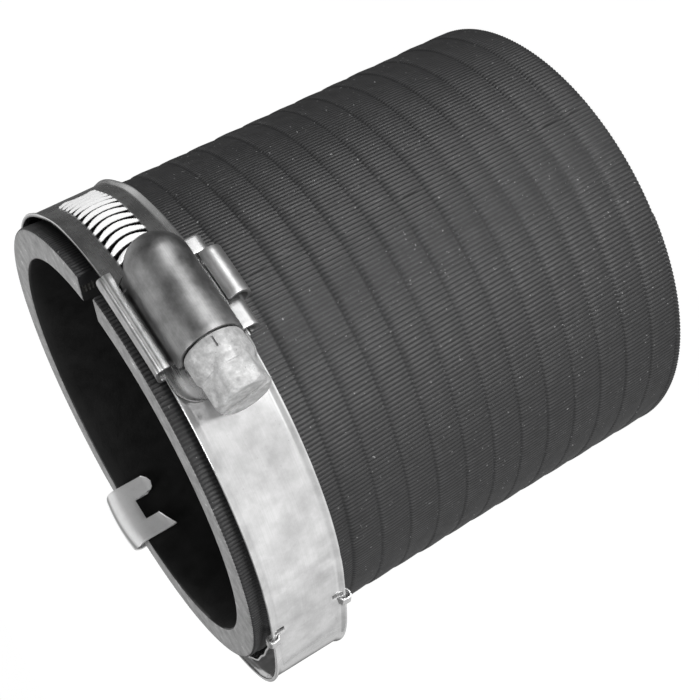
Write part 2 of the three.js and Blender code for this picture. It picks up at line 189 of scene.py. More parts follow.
def ring_faces(rings, steps, closed=False):
    """The faces of a tube whose points go round each ring in turn; closed joins its two ends."""
    faces = []
    for i in range(rings if closed else rings - 1):
        j = (i + 1) % rings
        for k in range(steps):
            n = (k + 1) % steps
            faces.append((i * steps + k, i * steps + n, j * steps + n, j * steps + k))
    return faces


def end_caps(rings, steps):
    return [tuple(range(steps)), tuple((rings - 1) * steps + k for k in reversed(range(steps)))]


def bake(ob):
    """Replaces an object's mesh with the result of its modifiers."""
    graph = bpy.context.evaluated_depsgraph_get()
    made = bpy.data.meshes.new_from_object(ob.evaluated_get(graph))
    made.name = ob.name
    ob.modifiers.clear()
    ob.data = made
    return ob


def bevel(ob, width, segments=2, angle=35):
    rounding = ob.modifiers.new("round", "BEVEL")
    rounding.width = width * MM
    rounding.segments = segments
    rounding.limit_method = "ANGLE"
    rounding.angle_limit = math.radians(angle)
    rounding.use_clamp_overlap = True
    return bake(ob)


def cut_out(ob, cutter):
    cut = ob.modifiers.new("cut", "BOOLEAN")
    cut.operation = "DIFFERENCE"
    cut.solver = "EXACT"
    cut.object = cutter
    bake(ob)
    bpy.data.objects.remove(cutter)
    return ob


def join(name, objects):
    work = bmesh.new()
    for ob in objects:
        work.from_mesh(ob.data)
    mesh = bpy.data.meshes.new(name)
    work.to_mesh(mesh)
    work.free()
    for ob in objects:
        bpy.data.objects.remove(ob)
    made = bpy.data.objects.new(name, mesh)
    bpy.context.collection.objects.link(made)
    return made


def finish_piece(ob, material, body, nodes=(), smooth_angle=40):
    ob.data.materials.clear()
    ob.data.materials.append(material)
    ob.data.polygons.foreach_set("use_smooth", [True] * len(ob.data.polygons))
    ob.data.set_sharp_from_angle(angle=math.radians(smooth_angle))
    if body:
        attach(ob, body)
    if nodes:
        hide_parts(*nodes)
    return ob


def block(x, y, z):
    """A box between pairs of clamp coordinates, for cutting."""
    points = [(a, b, c) for a in x for b in y for c in z]
    faces = [(0, 1, 3, 2), (4, 6, 7, 5), (0, 4, 5, 1), (2, 3, 7, 6), (0, 2, 6, 4), (1, 5, 7, 3)]
    return mesh_object("cutter", points, faces)


# ---- Materials ---------------------------------------------------------------------------
def feed(tree, socket, value):
    """Links a socket to another one, or sets it to a plain value."""
    if isinstance(value, bpy.types.NodeSocket):
        tree.links.new(value, socket)
    else:
        socket.default_value = value


def arithmetic(tree, operation, a, b):
    made = tree.nodes.new("ShaderNodeMath")
    made.operation = operation
    feed(tree, made.inputs[0], a)
    feed(tree, made.inputs[1], b)
    return made.outputs[0]


class Surface:
    """A Principled material whose textures are measured in millimetres."""

    def __init__(self, name, metallic=0.0, **sockets):
        self.material = bpy.data.materials.new(name)
        self.material.use_nodes = True
        self.tree = self.material.node_tree
        self.shader = self.tree.nodes["Principled BSDF"]
        self.shader.inputs["Metallic"].default_value = metallic
        for socket, value in sockets.items():
            self.shader.inputs[socket.replace("_", " ")].default_value = value
        place_node = self.tree.nodes.new("ShaderNodeTexCoord")
        self.scale = self.tree.nodes.new("ShaderNodeMapping")
        self.scale.inputs["Scale"].default_value = (1000, 1000, 1000)
        self.tree.links.new(place_node.outputs["Object"], self.scale.inputs["Vector"])
        self.position = self.scale.outputs["Vector"]

    def node(self, kind, **links):
        made = self.tree.nodes.new("ShaderNode" + kind)
        for socket, value in links.items():
            feed(self.tree, made.inputs[socket.replace("_", " ")], value)
        return made

    def noise(self, scale, detail=4.0, roughness=0.6, stretch=(1, 1, 1), at=None):
        source = at or self.position
        if stretch != (1, 1, 1):
            source = self.node("Mapping", Vector=source, Scale=stretch).outputs["Vector"]
        made = self.node("TexNoise", Vector=source, Scale=scale, Detail=detail, Roughness=roughness)
        return made.outputs["Fac"]

    def relief(self):
        made = self.node("Attribute")
        made.attribute_name = "relief"
        return made.outputs["Fac"]

    def band_coordinates(self):
        """(angle round the bore, radius, height), so that grain runs round the bore."""
        parts = self.node("SeparateXYZ", Vector=self.position)
        angle = self.math("ARCTAN2", parts.outputs["Y"], parts.outputs["X"])
        length = self.math("MULTIPLY", angle, 36.0)
        squares = [self.math("MULTIPLY", parts.outputs[axis], parts.outputs[axis]) for axis in "XY"]
        radius = self.math("SQRT", self.math("ADD", *squares))
        made = self.node("CombineXYZ", X=length, Y=radius, Z=parts.outputs["Z"])
        return made.outputs["Vector"]

    def math(self, operation, a, b=0.0):
        return arithmetic(self.tree, operation, a, b)

    def scaled(self, value, low, high, to_low, to_high):
        made = self.node("MapRange", Value=value, From_Min=low, From_Max=high,
                         To_Min=to_low, To_Max=to_high)
        return made.outputs["Result"]

    def ramp(self, factor, *stops):
        """Greys at positions along a factor."""
        made = self.node("ValToRGB", Fac=factor)
        points = made.color_ramp.elements
        while len(points) < len(stops):
            points.new(0.5)
        for point, (at, grey) in zip(points, stops):
            point.position = at
            point.color = (*grey, 1) if isinstance(grey, tuple) else (grey, grey, grey, 1)
        return made.outputs["Color"]

    def mix(self, factor, a, b):
        """A colour between a and b. The mix node keeps its colour sockets at 6, 7 and 2."""
        made = self.tree.nodes.new("ShaderNodeMix")
        made.data_type = "RGBA"
        feed(self.tree, made.inputs[0], factor)
        feed(self.tree, made.inputs[6], a)
        feed(self.tree, made.inputs[7], b)
        return made.outputs[2]

    def colour(self, socket):
        self.tree.links.new(socket, self.shader.inputs["Base Color"])

    def roughness(self, socket):
        self.tree.links.new(socket, self.shader.inputs["Roughness"])

    def bump(self, *layers):
        """Stacks (height, strength, distance in mm) bumps."""
        normal = None
        for height, strength, distance in layers:
            made = self.node("Bump", Height=height, Strength=strength, Distance=distance * MM)
            if normal:
                self.tree.links.new(normal, made.inputs["Normal"])
            normal = made.outputs["Normal"]
        self.tree.links.new(normal, self.shader.inputs["Normal"])


def cut_face(s):
    """Where a surface belongs to the sleeve's cut ends, and the cut rubber's mottled greys."""
    parts = s.node("SeparateXYZ", Vector=s.position)
    from_middle = s.math("ABSOLUTE", s.math("SUBTRACT", parts.outputs["Z"], HOSE["length"] / 2))
    at_end = s.math("GREATER_THAN", from_middle, HOSE["length"] / 2 - 0.1)
    mottled = s.ramp(s.noise(0.55, 8, 0.75), (0.30, 0.16), (0.5, 0.30), (0.62, 0.40), (0.68, 0.85))
    return at_end, mottled


def ribbed_rubber():
    s = Surface("ribbed_rubber", Specular_IOR_Level=0.5)
    base = s.ramp(s.noise(0.08, 3), (0.35, 0.013), (0.65, 0.022))
    base = s.mix(s.ramp(s.noise(1.3, 6, 0.7), (0.35, 0.0), (0.8, 0.6)), base, (0.040, 0.040, 0.041, 1))
    crest = s.relief()
    # Painted shade: the rib grooves, where the relief is low, are painted darker.
    base = s.mix(crest, (0.012, 0.012, 0.013, 1), base)
    # Painted highlight: the rib crests are painted brighter, broken up by noise.
    painted_highlight = s.math("MULTIPLY", s.math("POWER", crest, 3.0),
                  s.ramp(s.noise(0.5, 5), (0.3, 0.2), (0.7, 0.9)))
    base = s.mix(painted_highlight, base, (0.052, 0.052, 0.053, 1))
    dust = s.ramp(s.noise(2.3, 2, 0.5), (0.70, 0.0), (0.76, 1.0))
    base = s.mix(s.math("MULTIPLY", dust, 0.55), base, (0.40, 0.40, 0.40, 1))
    streak = s.noise(1.1, 2, 0.5, stretch=(2.6, 2.6, 0.35))
    base = s.mix(s.ramp(streak, (0.72, 0.0), (0.78, 0.4)), base, (0.20, 0.20, 0.20, 1))
    at_end, mottled = cut_face(s)
    s.colour(s.mix(at_end, base, mottled))
    s.roughness(s.ramp(s.noise(0.6, 4), (0.3, 0.42), (0.7, 0.56)))
    s.bump((s.noise(4.0, 6, 0.7), 0.35, 0.06))
    return s.material


def cut_rubber():
    s = Surface("cut_rubber", Specular_IOR_Level=0.35)
    dark = s.ramp(s.noise(0.25, 5), (0.3, 0.012), (0.7, 0.022))
    at_end, mottled = cut_face(s)
    s.colour(s.mix(at_end, dark, mottled))
    s.roughness(s.ramp(s.noise(0.5, 4), (0.3, 0.34), (0.7, 0.5)))
    s.bump((s.noise(1.2, 7, 0.7), 0.35, 0.1), (s.noise(6.0, 3), 0.25, 0.04))
    return s.material


def steel(name, light, dark, rough_low, rough_high, grain=0.25, metallic=1.0, round_bore=True,
          grooved=False):
    """Rolled metal: grain along the strip, smudges, small nicks; when grooved, painted shade in the grooves
    and ridge faces painted white, partly wear and partly highlight.
    """
    s = Surface(name, metallic=metallic)
    at = s.band_coordinates() if round_bore else s.position
    lines = s.noise(1.0, 5, 0.7, stretch=(0.12, 5.0, 7.0), at=at)
    smudge = s.noise(0.22, 6, 0.65)
    nicks = s.ramp(s.noise(1.9, 3, 0.6), (0.68, 0.0), (0.76, 1.0))
    base = s.ramp(smudge, (0.32, dark), (0.62, light))
    base = s.mix(s.ramp(lines, (0.3, 0.0), (0.8, 0.35)), base, (dark * 0.8, dark * 0.8, dark * 0.8, 1))
    base = s.mix(s.math("MULTIPLY", nicks, 0.35), base, (0.25, 0.25, 0.25, 1))
    if grooved:
        # Painted shade: the grooves between the ridges and the backs of the ridges are painted near black.
        base = s.mix(s.ramp(s.relief(), (0.08, 1.0), (0.46, 0.0)), base, (0.02, 0.02, 0.02, 1))
        # Painted highlight: the ridge faces are painted white, standing partly for bright worn metal, and
        # made less metallic there.
        painted_highlight = s.ramp(s.relief(), (0.54, 0.0), (0.92, 1.0))
        base = s.mix(painted_highlight, base, (1.0, 1.0, 1.0, 1))
        s.tree.links.new(s.ramp(painted_highlight, (0.0, 1.0), (1.0, 0.1)), s.shader.inputs["Metallic"])
    s.colour(base)
    rough = s.mix(0.5, s.ramp(smudge, (0.3, rough_low), (0.7, rough_high)),
                  s.ramp(lines, (0.3, rough_low), (0.8, rough_high)))
    s.roughness(rough)
    s.bump((lines, grain, 0.02), (s.noise(0.5, 3), 0.12, 0.15))
    return s.material


def plated(name, metallic, greys, dirt, painted_arch_shade=None):
    """Dull plating: cloudy, with dark specks, and painted shade at some distances from the bore's axis."""
    s = Surface(name, metallic=metallic)
    clouds = s.ramp(s.noise(0.9, 8, 0.7), *zip((0.30, 0.52, 0.70), greys))
    specks = s.ramp(s.noise(3.0, 3, 0.6), (0.64, 0.0), (0.72, dirt))
    base = s.mix(specks, clouds, (0.16, 0.16, 0.16, 1))
    if painted_arch_shade:
        near, far = painted_arch_shade
        # Painted shade: a dark strip along the clip's arch, between the two radii given.
        radius = s.node("SeparateXYZ", Vector=s.band_coordinates()).outputs["Y"]
        share = s.ramp(s.scaled(radius, near, far, 0.0, 1.0),
                       (0.0, 0.0), (0.35, 0.75), (0.6, 0.7), (1.0, 0.0))
        base = s.mix(share, base, (0.10, 0.10, 0.10, 1))
    s.colour(base)
    s.roughness(s.ramp(s.noise(0.7, 5), (0.3, 0.40), (0.7, 0.62)))
    s.bump((s.noise(1.4, 7, 0.7), 0.3, 0.08), (s.noise(7.0, 3), 0.2, 0.03))
    return s.material


def woven_fabric():
    s = Surface("woven_ply", Specular_IOR_Level=0.2)
    at = s.band_coordinates()
    warp = s.node("TexWave", Vector=at, Scale=0.6, Distortion=0.4)
    weft = s.node("TexWave", Vector=at, Scale=0.6, Distortion=0.4)
    weft.bands_direction = "Z"
    cross = s.math("MULTIPLY", warp.outputs["Fac"], weft.outputs["Fac"])
    s.colour(s.mix(s.ramp(s.noise(1.5), (0.3, 0.0), (0.7, 1.0)), s.ramp(cross, (0.1, 0.02), (0.9, 0.11)),
                   (0.06, 0.058, 0.052, 1)))
    s.roughness(s.ramp(cross, (0.1, 0.85), (0.9, 0.98)))
    s.bump((cross, 0.6, 0.2))
    return s.material


# ---- Sleeve ------------------------------------------------------------------------------
def cover_point(column, z):
    """Outer surface of the cover: crest share, angle and radius at a column and a height."""
    turn = column / (RIBS["count"] * len(RIBS["profile"]))
    phase = (z / WRAP["pitch"] - turn) % 1.0
    wrap_number = math.floor(z / WRAP["pitch"] - turn)
    lean = RIBS["slope"] * WRAP["pitch"] * (phase - 0.5)
    angle = 360 * turn + math.degrees(lean / HOSE["outer"])
    crest = RIBS["profile"][column % len(RIBS["profile"])]
    bulge = WRAP["bulge"] * (1 - abs(2 * phase - 1) ** 6)
    bulge += WRAP["step"] * (phase - 0.5)
    wander = noise.noise(Vector((math.cos(math.radians(angle)) * 2.2, math.sin(math.radians(angle)) * 2.2,
                                 wrap_number * 1.7)))
    bulge *= 1 + WRAP["unevenness"] * wander
    radius = HOSE["outer"] + bulge - RIBS["depth"] * (1 - crest) + WRAP["wander"] * wander
    return crest, angle, radius


def sleeve_cover():
    columns = RIBS["count"] * len(RIBS["profile"])
    per_wrap = len(WRAP["rows"])
    wraps = math.ceil(HOSE["length"] / WRAP["pitch"]) + 2
    rows = wraps * per_wrap
    low, high = HOSE["edge"], HOSE["length"] - HOSE["edge"]
    points, crests = [], []
    for column in range(columns):
        for row in range(rows):
            turn = column / columns
            z = WRAP["pitch"] * (row // per_wrap - 1 + WRAP["rows"][row % per_wrap] + turn)
            z = min(max(z, low), high)
            crest, angle, radius = cover_point(column, z)
            points.append(polar(angle, radius, z - BAND_MIDDLE))
            # The relief carries painted light: the crest share times the row's value, painted darker in the
            # rib grooves and brighter on the crests.
            crests.append(crest * WRAP["painted_rib_light"][row % per_wrap])
    faces = []
    for column in range(columns):
        beside, shift = (column + 1, 0) if column + 1 < columns else (0, per_wrap)
        for row in range(rows - 1):
            if row + 1 + shift < rows:
                a = column * rows + row
                b = beside * rows + row + shift
                faces.append((a, b, b + 1, a + 1))
    # Ends: a rounded edge and a flat ring in to the cover's inner radius.
    ends = []
    for z, edge_z in ((0, low), (HOSE["length"], high)):
        ring_rows = []
        for inset, at in ((0.12, z + (edge_z - z) * 0.3), (0.4, z), (1.0, z), (None, z)):
            first = len(points)
            for column in range(columns):
                crest, angle, radius = cover_point(column, edge_z)
                soft = noise.noise(Vector((column * 0.05, z, inset or 0)))
                r = HOSE["cover_inner"] if inset is None else radius - inset
                points.append(polar(angle, r, at - BAND_MIDDLE + (0.03 * soft if inset == 1.0 else 0)))
                crests.append(PLAIN)
            ring_rows.append(first)
        ends.append(ring_rows)
    for end, ring_rows in enumerate(ends):
        edge_row = 0 if end == 0 else rows - 1
        for column in range(columns):
            n = (column + 1) % columns
            a, b = column * rows + edge_row, n * rows + edge_row
            faces.append((a, b, ring_rows[0] + n, ring_rows[0] + column))
            for near, far in zip(ring_rows, ring_rows[1:]):
                faces.append((near + column, near + n, far + n, far + column))
    bottom, top = ends[0][-1], ends[1][-1]
    for column in range(columns):
        n = (column + 1) % columns
        faces.append((bottom + column, bottom + n, top + n, top + column))
    return cut_out(mesh_object("sleeve_cover", points, faces, crests), notch_cutter())


def notch_cutter():
    width, depth = NOTCH["width"], NOTCH["depth"]
    cutter = block((-width / 2, width / 2), NOTCH["cut"], (SLEEVE_TOP - depth, SLEEVE_TOP + 2))
    cutter.data.transform(Matrix.Rotation(-math.radians(NOTCH["at"]), 4, "Z"))
    return cutter


def sleeve_bore():
    """The smooth bore, its rounded ends and the flat faces out to the fabric plies."""
    steps, top = BORE["steps"], HOSE["length"]
    bore, liner, lip = HOSE["bore"], HOSE["liner"], HOSE["lip"]
    inner_face, outer_face = BORE["face"]
    end = [(liner, BORE["overlap"]), (lip, BORE["overlap"]), (lip, 0.0), (outer_face, 0.0),
           (inner_face, 0.0), (bore + 0.35, 0.0), (bore + 0.1, 0.14)]
    profile = end + [(bore, z) for z in spread(BORE["start"], top - BORE["start"], BORE["rows"])]
    profile += [(r, top - z) for r, z in reversed(end)]
    points = []
    for r, z in profile:
        for k in range(steps):
            a = 2 * math.pi * k / steps
            dr = dz = 0.0
            if r == bore:
                soft = noise.noise(Vector((math.cos(a) * 3, math.sin(a) * 3, z * 0.12)))
                rings = math.sin(z * 2 * math.pi / BORE["ring_pitch"])
                dr = BORE["wave"] * soft + BORE["ring_height"] * rings
            if r in BORE["face"]:
                dz = BORE["face_wave"] * noise.noise(Vector((math.cos(a) * 14, math.sin(a) * 14, r)))
            points.append(polar(math.degrees(a), r + dr, z + dz - BAND_MIDDLE))
    faces = ring_faces(len(profile), steps, closed=True)
    return cut_out(mesh_object("sleeve_bore", points, faces), notch_cutter())


# ---- Band --------------------------------------------------------------------------------
def hump(angle):
    away = (angle - HUMP["middle"]) / HUMP["half"]
    return HUMP["height"] * 0.5 * (1 + math.cos(math.pi * away)) if abs(away) < 1 else 0.0


def band_inner(angle):
    rise = TAIL["rise"] * smoothstep((angle - TAIL["ramp_start"]) / (TAIL["ramp_end"] - TAIL["ramp_start"]))
    return BAND["inner"] + hump(angle) + rise


def band_columns(extra=()):
    half = sorted({BAND["half"] - inset for inset, _ in FLARE} | set(extra) | {0.0})
    return [-w for w in reversed(half) if w] + half


def flare(w):
    inset = BAND["half"] - abs(w)
    for (a, low), (b, high) in zip(FLARE, FLARE[1:]):
        if a <= inset <= b:
            return low + (high - low) * (inset - a) / (b - a)
    return 0.0


def ridge(angle, w):
    """Height of the screw's ridges on the band at a point, and a value for the painted light: 0 paints
    shade in a groove, 1 paints a highlight on a face.
    """
    pitch = math.degrees(THREAD["pitch"] / THREAD["radius"])
    half = THREAD["length"] / 2
    if abs(w) > half:
        return 0.0, PLAIN
    across = abs(w) / half
    lean = -THREAD["skew"] * w / THREAD["radius"]
    bow = THREAD["bow"] * (1 - across ** 2) / THREAD["radius"]
    place_in = (angle - 360) / pitch - 0.5 + math.degrees(lean + bow) / pitch
    number = round(place_in)
    if not THREAD["first"] <= 360 + (number + 0.5) * pitch <= THREAD["last"]:
        return 0.0, PLAIN
    along = (place_in - number) / (1 - THREAD["taper"] * across ** 3)
    ends = smoothstep((half - abs(w)) / THREAD["end"])
    crown = THREAD["height"] * (1 - 0.3 * across ** 2)
    rise = smoothstep((along - THREAD["rise_from"]) / THREAD["rise"])
    fall = min(max((along - THREAD["fall_from"]) / THREAD["fall"], 0.0), 1.0)
    # The lit face of each ridge, which gets the painted highlight; the rest of the ridge and the groove get
    # painted shade.
    face = rise * (1 - smoothstep((along - THREAD["face_end"]) / THREAD["face_fade"]))
    height = ends * (rise * (1 - fall) * (crown + THREAD["groove"]) - THREAD["groove"])
    return height, PLAIN + ends * (face - PLAIN)


def tip_width(left):
    """The band's share of its full width, from how much of it is left before the tip."""
    corner = TAIL["corner"]
    if left >= corner:
        return 1.0
    inside = BAND["half"] - corner + math.sqrt(corner ** 2 - (corner - max(left, 0)) ** 2)
    return inside / BAND["half"]


def band_strip(name, angles, columns, keep=lambda i, j: True, ridged=False):
    """A length of the band: rolled edges, a turned-up tip, its crease, and ridges if asked."""
    outer, inner, reliefs = [], [], []
    for angle in angles:
        left = math.radians(TAIL["tip"] - angle) * (BAND["inner"] + TAIL["rise"])
        shrink = tip_width(left)
        lip = 0.22 * smoothstep((0.7 - left) / 0.6)
        crease = CREASE["depth"] * max(0.0, 1 - abs(angle - CREASE["at"]) / CREASE["half_angle"])
        out_row, in_row = [], []
        for w in columns:
            wave = BAND["wave"] * noise.noise(Vector((angle * 0.12, w * 0.35, 1.3)))
            base = band_inner(angle) + max(flare(w), lip) + wave - crease
            bump, relief = ridge(angle, w) if ridged else (0.0, PLAIN)
            reliefs.append(relief)
            out_row.append(polar(angle, base + BAND["thickness"] + bump, w * shrink))
            in_row.append(polar(angle, base + max(bump, 0) * 0.35, w * shrink))
        outer.append(out_row)
        inner.append(in_row)
    return shell(name, outer, inner, keep, values=reliefs + [0.0] * len(reliefs))


def band_fixed():
    slot_rows = [SLOT["at"] - SLOT["half_angle"], SLOT["at"] + SLOT["half_angle"]]
    crease = [CREASE["at"] + side * CREASE["half_angle"] for side in (-1, 0, 1)]
    angles = sorted(set(spread(BAND["start"], BAND["fixed_end"], 173)) | set(slot_rows) | set(crease))
    angles = [a for a in angles if a in slot_rows or min(abs(a - s) for s in slot_rows) > 0.3]
    columns = band_columns(extra=(1.5, 3.0, SLOT["inside"], SLOT["outside"]))

    def keep(i, j):
        angle = (angles[i] + angles[i + 1]) / 2
        w = abs(columns[j] + columns[j + 1]) / 2
        return not (slot_rows[0] < angle < slot_rows[1] and SLOT["inside"] < w < SLOT["outside"])
    return bevel(band_strip("band_fixed", angles, columns, keep), BAND["round_edge"])


def band_bridge():
    angles = spread(BAND["fixed_end"], BAND["bridge_end"], 55)
    return bevel(band_strip("band_bridge", angles, band_columns(extra=(1.5, 3.0))), BAND["round_edge"])


def band_tail():
    plain = spread(BAND["bridge_end"], THREAD["first"] - 1, 80)
    threaded = spread(THREAD["first"] - 0.7, THREAD["last"] + 1, 420)
    before_tip = (3.4, 2.8, 2.2, 1.7, 1.2, 0.8, 0.45, 0.2, 0.05, 0.0)
    tip = [TAIL["tip"] - math.degrees(d / (BAND["inner"] + TAIL["rise"])) for d in before_tip]
    angles = plain + threaded + [a for a in tip if a > threaded[-1]]
    half = THREAD["length"] / 2
    columns = band_columns(extra=[k * 0.2 for k in range(16)] + [half - 0.1, half + 0.15])
    return bevel(band_strip("band_thread", angles, columns, ridged=True), 0.06, angle=85)


# ---- Spring liner ------------------------------------------------------------------------
def liner_radius(angle):
    for (a, low), (b, high) in zip(LINER_STOPS, LINER_STOPS[1:]):
        if angle <= b:
            return low + (high - low) * smoothstep((angle - a) / (b - a))
    return LINER_STOPS[-1][1]


def liner_strip():
    angles = spread(LINER["start"], LINER["end"], 73)
    columns = [-w for w in reversed(LINER["columns"]) if w] + list(LINER["columns"])
    grids = []
    for offset in (LINER["thickness"] / 2, -LINER["thickness"] / 2):
        grids.append([[polar(a, liner_radius(a) + offset + LINER["beads"].get(abs(w), 0), w)
                       for w in columns] for a in angles])
    return shell("liner_strip", *grids)


def liner_ear(angle, side):
    """A loop round the band's edge, with its end tucked towards the slot."""
    t = LINER["thickness"]
    bottom = band_inner(angle) - EAR["below"] - t
    top = band_inner(angle) + BAND["thickness"] + EAR["above"]
    outside = BAND["half"] + EAR["outside"]
    middle = (bottom + top + t) / 2
    half = (top + t - bottom) / 2
    path = [(4.3, bottom), (outside - 0.3, bottom)]
    for a in spread(-80, 80, 10):
        c, s = math.cos(math.radians(a)), math.sin(math.radians(a))
        path.append((outside + (t + EAR["bulge"]) * c, middle + half * s))
    path += [(outside - 0.5, top + t), (outside - 1.1, top + 0.6 * t), (4.9, top - 0.20), (4.5, top - 0.62)]
    spans = spread(-EAR["half"], EAR["half"], 4)

    def at(s, w, r):
        x, y, _ = polar(angle, r, 0)
        a = math.radians(angle)
        return (x + s * math.cos(a), y - s * math.sin(a), side * w)
    return sheet_path("ear", path, t, spans, at)


def spring_liner():
    parts = [liner_strip()]
    parts += [liner_ear(angle, side) for angle in EAR["angles"] for side in (1, -1)]
    return bevel(join("spring_strip", parts), 0.06)


# ---- Clip on the rim ---------------------------------------------------------------------
def rim_clip():
    """A strip hooked over the rim: two prongs in the bore, an arch, and a leg outside."""
    inside, outside = HOSE["bore"] - 0.12, HOSE["outer"] + 0.36
    middle, half = (inside + outside) / 2, (outside - inside) / 2 + CLIP["thickness"]
    start, centre, end, gap = CLIP["start"], CLIP["centre"], CLIP["end"], CLIP["gap"]
    tip = SLEEVE_TOP - CLIP["inner_leg"]
    path = [(middle - half - 0.25, tip)]
    path += [(middle - half - 0.1 * share, SLEEVE_TOP - CLIP["inner_leg"] * share) for share in (0.9, 0.75)]
    path += [(middle - half, SLEEVE_TOP - d) for d in (CLIP["middle_leg"], 1.6, 0.7)]
    for a in spread(172, 8, 16):
        c, s = math.cos(math.radians(a)), math.sin(math.radians(a))
        reach = half * math.copysign(abs(c) ** CLIP["power"], c)
        path.append((middle + reach, SLEEVE_TOP + 0.02 + CLIP["arch"] * abs(s) ** CLIP["power"]))
    path += [(middle + half, SLEEVE_TOP - d) for d in (0.7, 3, 6, 9, CLIP["outer_leg"])]
    angles = [start, 170.6, 171.6, 173.5, 175.4, 176.1, gap[0], 177.6, centre, 182.6, gap[1], 184.4,
              185.2, 187, 188.6, 189.4, end]
    prong_rows = 4

    def keep(i, j):
        return i >= prong_rows or not gap[0] < (angles[j] + angles[j + 1]) / 2 < gap[1]

    def at(angle, r, z):
        across = smoothstep((r - inside + 0.4) / (outside - inside))
        narrow = CLIP["narrow"][0] if angle < centre else CLIP["narrow"][1]
        angle = centre + (angle - centre) * (1 - narrow * across)
        if r <= middle and z < SLEEVE_TOP - CLIP["middle_leg"]:
            # Prong ends: one rounded, one cut to a point at its outer corner.
            near = 1 - smoothstep((z - tip) / CLIP["prong_end"])
            if angle > gap[1]:
                mid = (gap[1] + end) / 2
                z += near * CLIP["rounding"] * ((angle - mid) / (end - mid)) ** 2
            else:
                z += near * CLIP["point"] * (angle - start) / (gap[0] - start)
        if z > SLEEVE_TOP:
            from_middle = (angle - centre) / (end - centre)
            z = SLEEVE_TOP + (z - SLEEVE_TOP) * (1 - CLIP["crown"] * from_middle ** 2)
        return polar(angle, r, z)
    return bevel(sheet_path("rim_clip", path, CLIP["thickness"], angles, at, keep), 0.07)


# ---- Housing -----------------------------------------------------------------------------
def dome_stations():
    """Points round the dome's U-shaped plan: centre x, direction out, side."""
    stations = [(x, 0.0, 1.0) for x in spread(DOME["open"], DOME["nose"], 14)]
    for a in spread(90, 270, 22)[1:-1]:
        stations.append((DOME["nose"], math.cos(math.radians(a)), math.sin(math.radians(a))))
    stations += [(x, 0.0, -1.0) for x in spread(DOME["nose"], DOME["open"], 14)]
    return stations


def dome_foot(x, w):
    radius = DOME["passage"] if abs(w) < DOME["passage_half"] else DOME["foot"]
    return math.sqrt(radius ** 2 - x ** 2)


def screw_housing():
    """The dome and its flanges: a quarter circle over the screw, a skirt, a fillet, a flange."""
    top, radius, wall = SCREW["height"], DOME["radius"], DOME["wall"]
    flange_top = FLANGE["y"] + FLANGE["thickness"]
    # How far down to the foot, and how far out to the flange's edge, at each row of the skirt.
    skirt = ((0.35, 0), (0.75, 0.06), (0.93, 0.25), (1.0, 0.55), (1.0, 1.0))
    outer, inner = [], []
    for x, out_x, out_w in dome_stations():
        on_side = abs(out_w) == 1.0
        flanged = on_side and x < FLANGE["end"]
        reach = (FLANGE["left"] if out_w > 0 else FLANGE["right"]) - radius
        share = 1.0 if flanged else 0.12
        if not on_side:
            share = 0.6 * max(0.0, abs(out_w) - 0.75) / 0.25
        out_row, in_row = [], []
        for lift in spread(90, 0, 12):
            c, s = math.cos(math.radians(lift)), math.sin(math.radians(lift))
            for row, r in ((out_row, radius), (in_row, radius - wall)):
                row.append((x + out_x * r * c, top + r * s, out_w * r * c))
        for drop, grow in skirt:
            d = radius + reach * grow * share
            d_in = d - wall if grow < 0.5 else d
            base = flange_top if on_side else dome_foot(x + out_x * d, out_w * d)
            if on_side and not flanged:
                base = DOME["open_foot"]
            under = FLANGE["thickness"] if grow >= 0.5 and share == 1.0 else 0
            y = top + (base - top) * drop
            out_row.append((x + out_x * d, y, out_w * d))
            in_row.append((x + out_x * d_in, y - under, out_w * d_in))
        outer.append(out_row)
        inner.append(in_row)
    return bevel(shell("screw_housing", outer, inner, seam=True), 0.10)


def bent_strip(name, path, thickness, x0, x1, steps=6):
    def at(x, w, y):
        return (x, y, w)
    return sheet_path(name, path, thickness, spread(x0, x1, steps), at)


def housing_tab(x0, x1):
    radius, centre = TABS["radius"], TABS["centre"]
    top = FLANGE["y"] + FLANGE["thickness"]
    path = [(-FLANGE["right"] + 0.3, top), (-FLANGE["right"] - 0.2, top)]
    path += arc(centre, top - radius, radius, 90, 265, 14)
    return bent_strip("tab", path, FLANGE["thickness"], x0, x1)


def housing_tabs():
    return bevel(join("housing_tabs", [housing_tab(x0, x1) for x0, x1 in TABS["spans"]]), 0.09)


def housing_saddle():
    xs = spread(FLANGE["start"], FLANGE["end"], 12)

    def at(x, w, y):
        # Low parts follow the band's curve, high parts are straight.
        curved = math.sqrt(max(y * y - x * x, 0))
        share = smoothstep((y - 35.6) / 1.2)
        return (x, curved + (y - curved) * share, w)
    hem = sheet_path("hem", list(reversed(HEM)), -SADDLE["thickness"], xs, at)
    radius = KNUCKLE["radius"]
    path = arc(KNUCKLE["centre"], SADDLE["inner"] + radius, radius, *KNUCKLE["curl"], 22)
    path += [(-6.8, SADDLE["inner"] + 0.02), (-6.3, SADDLE["inner"] + 0.02)]
    roll = bent_strip("roll", path, KNUCKLE["thickness"], KNUCKLE["start"], KNUCKLE["end"], 10)
    return bevel(join("saddle_strap", [hem, roll]), 0.08)


# ---- Screw -------------------------------------------------------------------------------
def on_screw(radius, angle, along):
    """A point about the screw's axis; angles grow from outwards towards the end face."""
    a = math.radians(angle)
    return (along, SCREW["height"] + radius * math.cos(a), radius * math.sin(a))


def about_screw(cutter, angle):
    """Moves a cutter drawn round the origin to the screw's axis, turned by an angle."""
    cutter.data.transform(Matrix.Translation(-place((0, 0, 0))))
    cutter.data.transform(Matrix.Rotation(-math.radians(angle), 4, "X"))
    cutter.data.transform(Matrix.Translation(place((0, SCREW["height"], 0))))
    return cutter


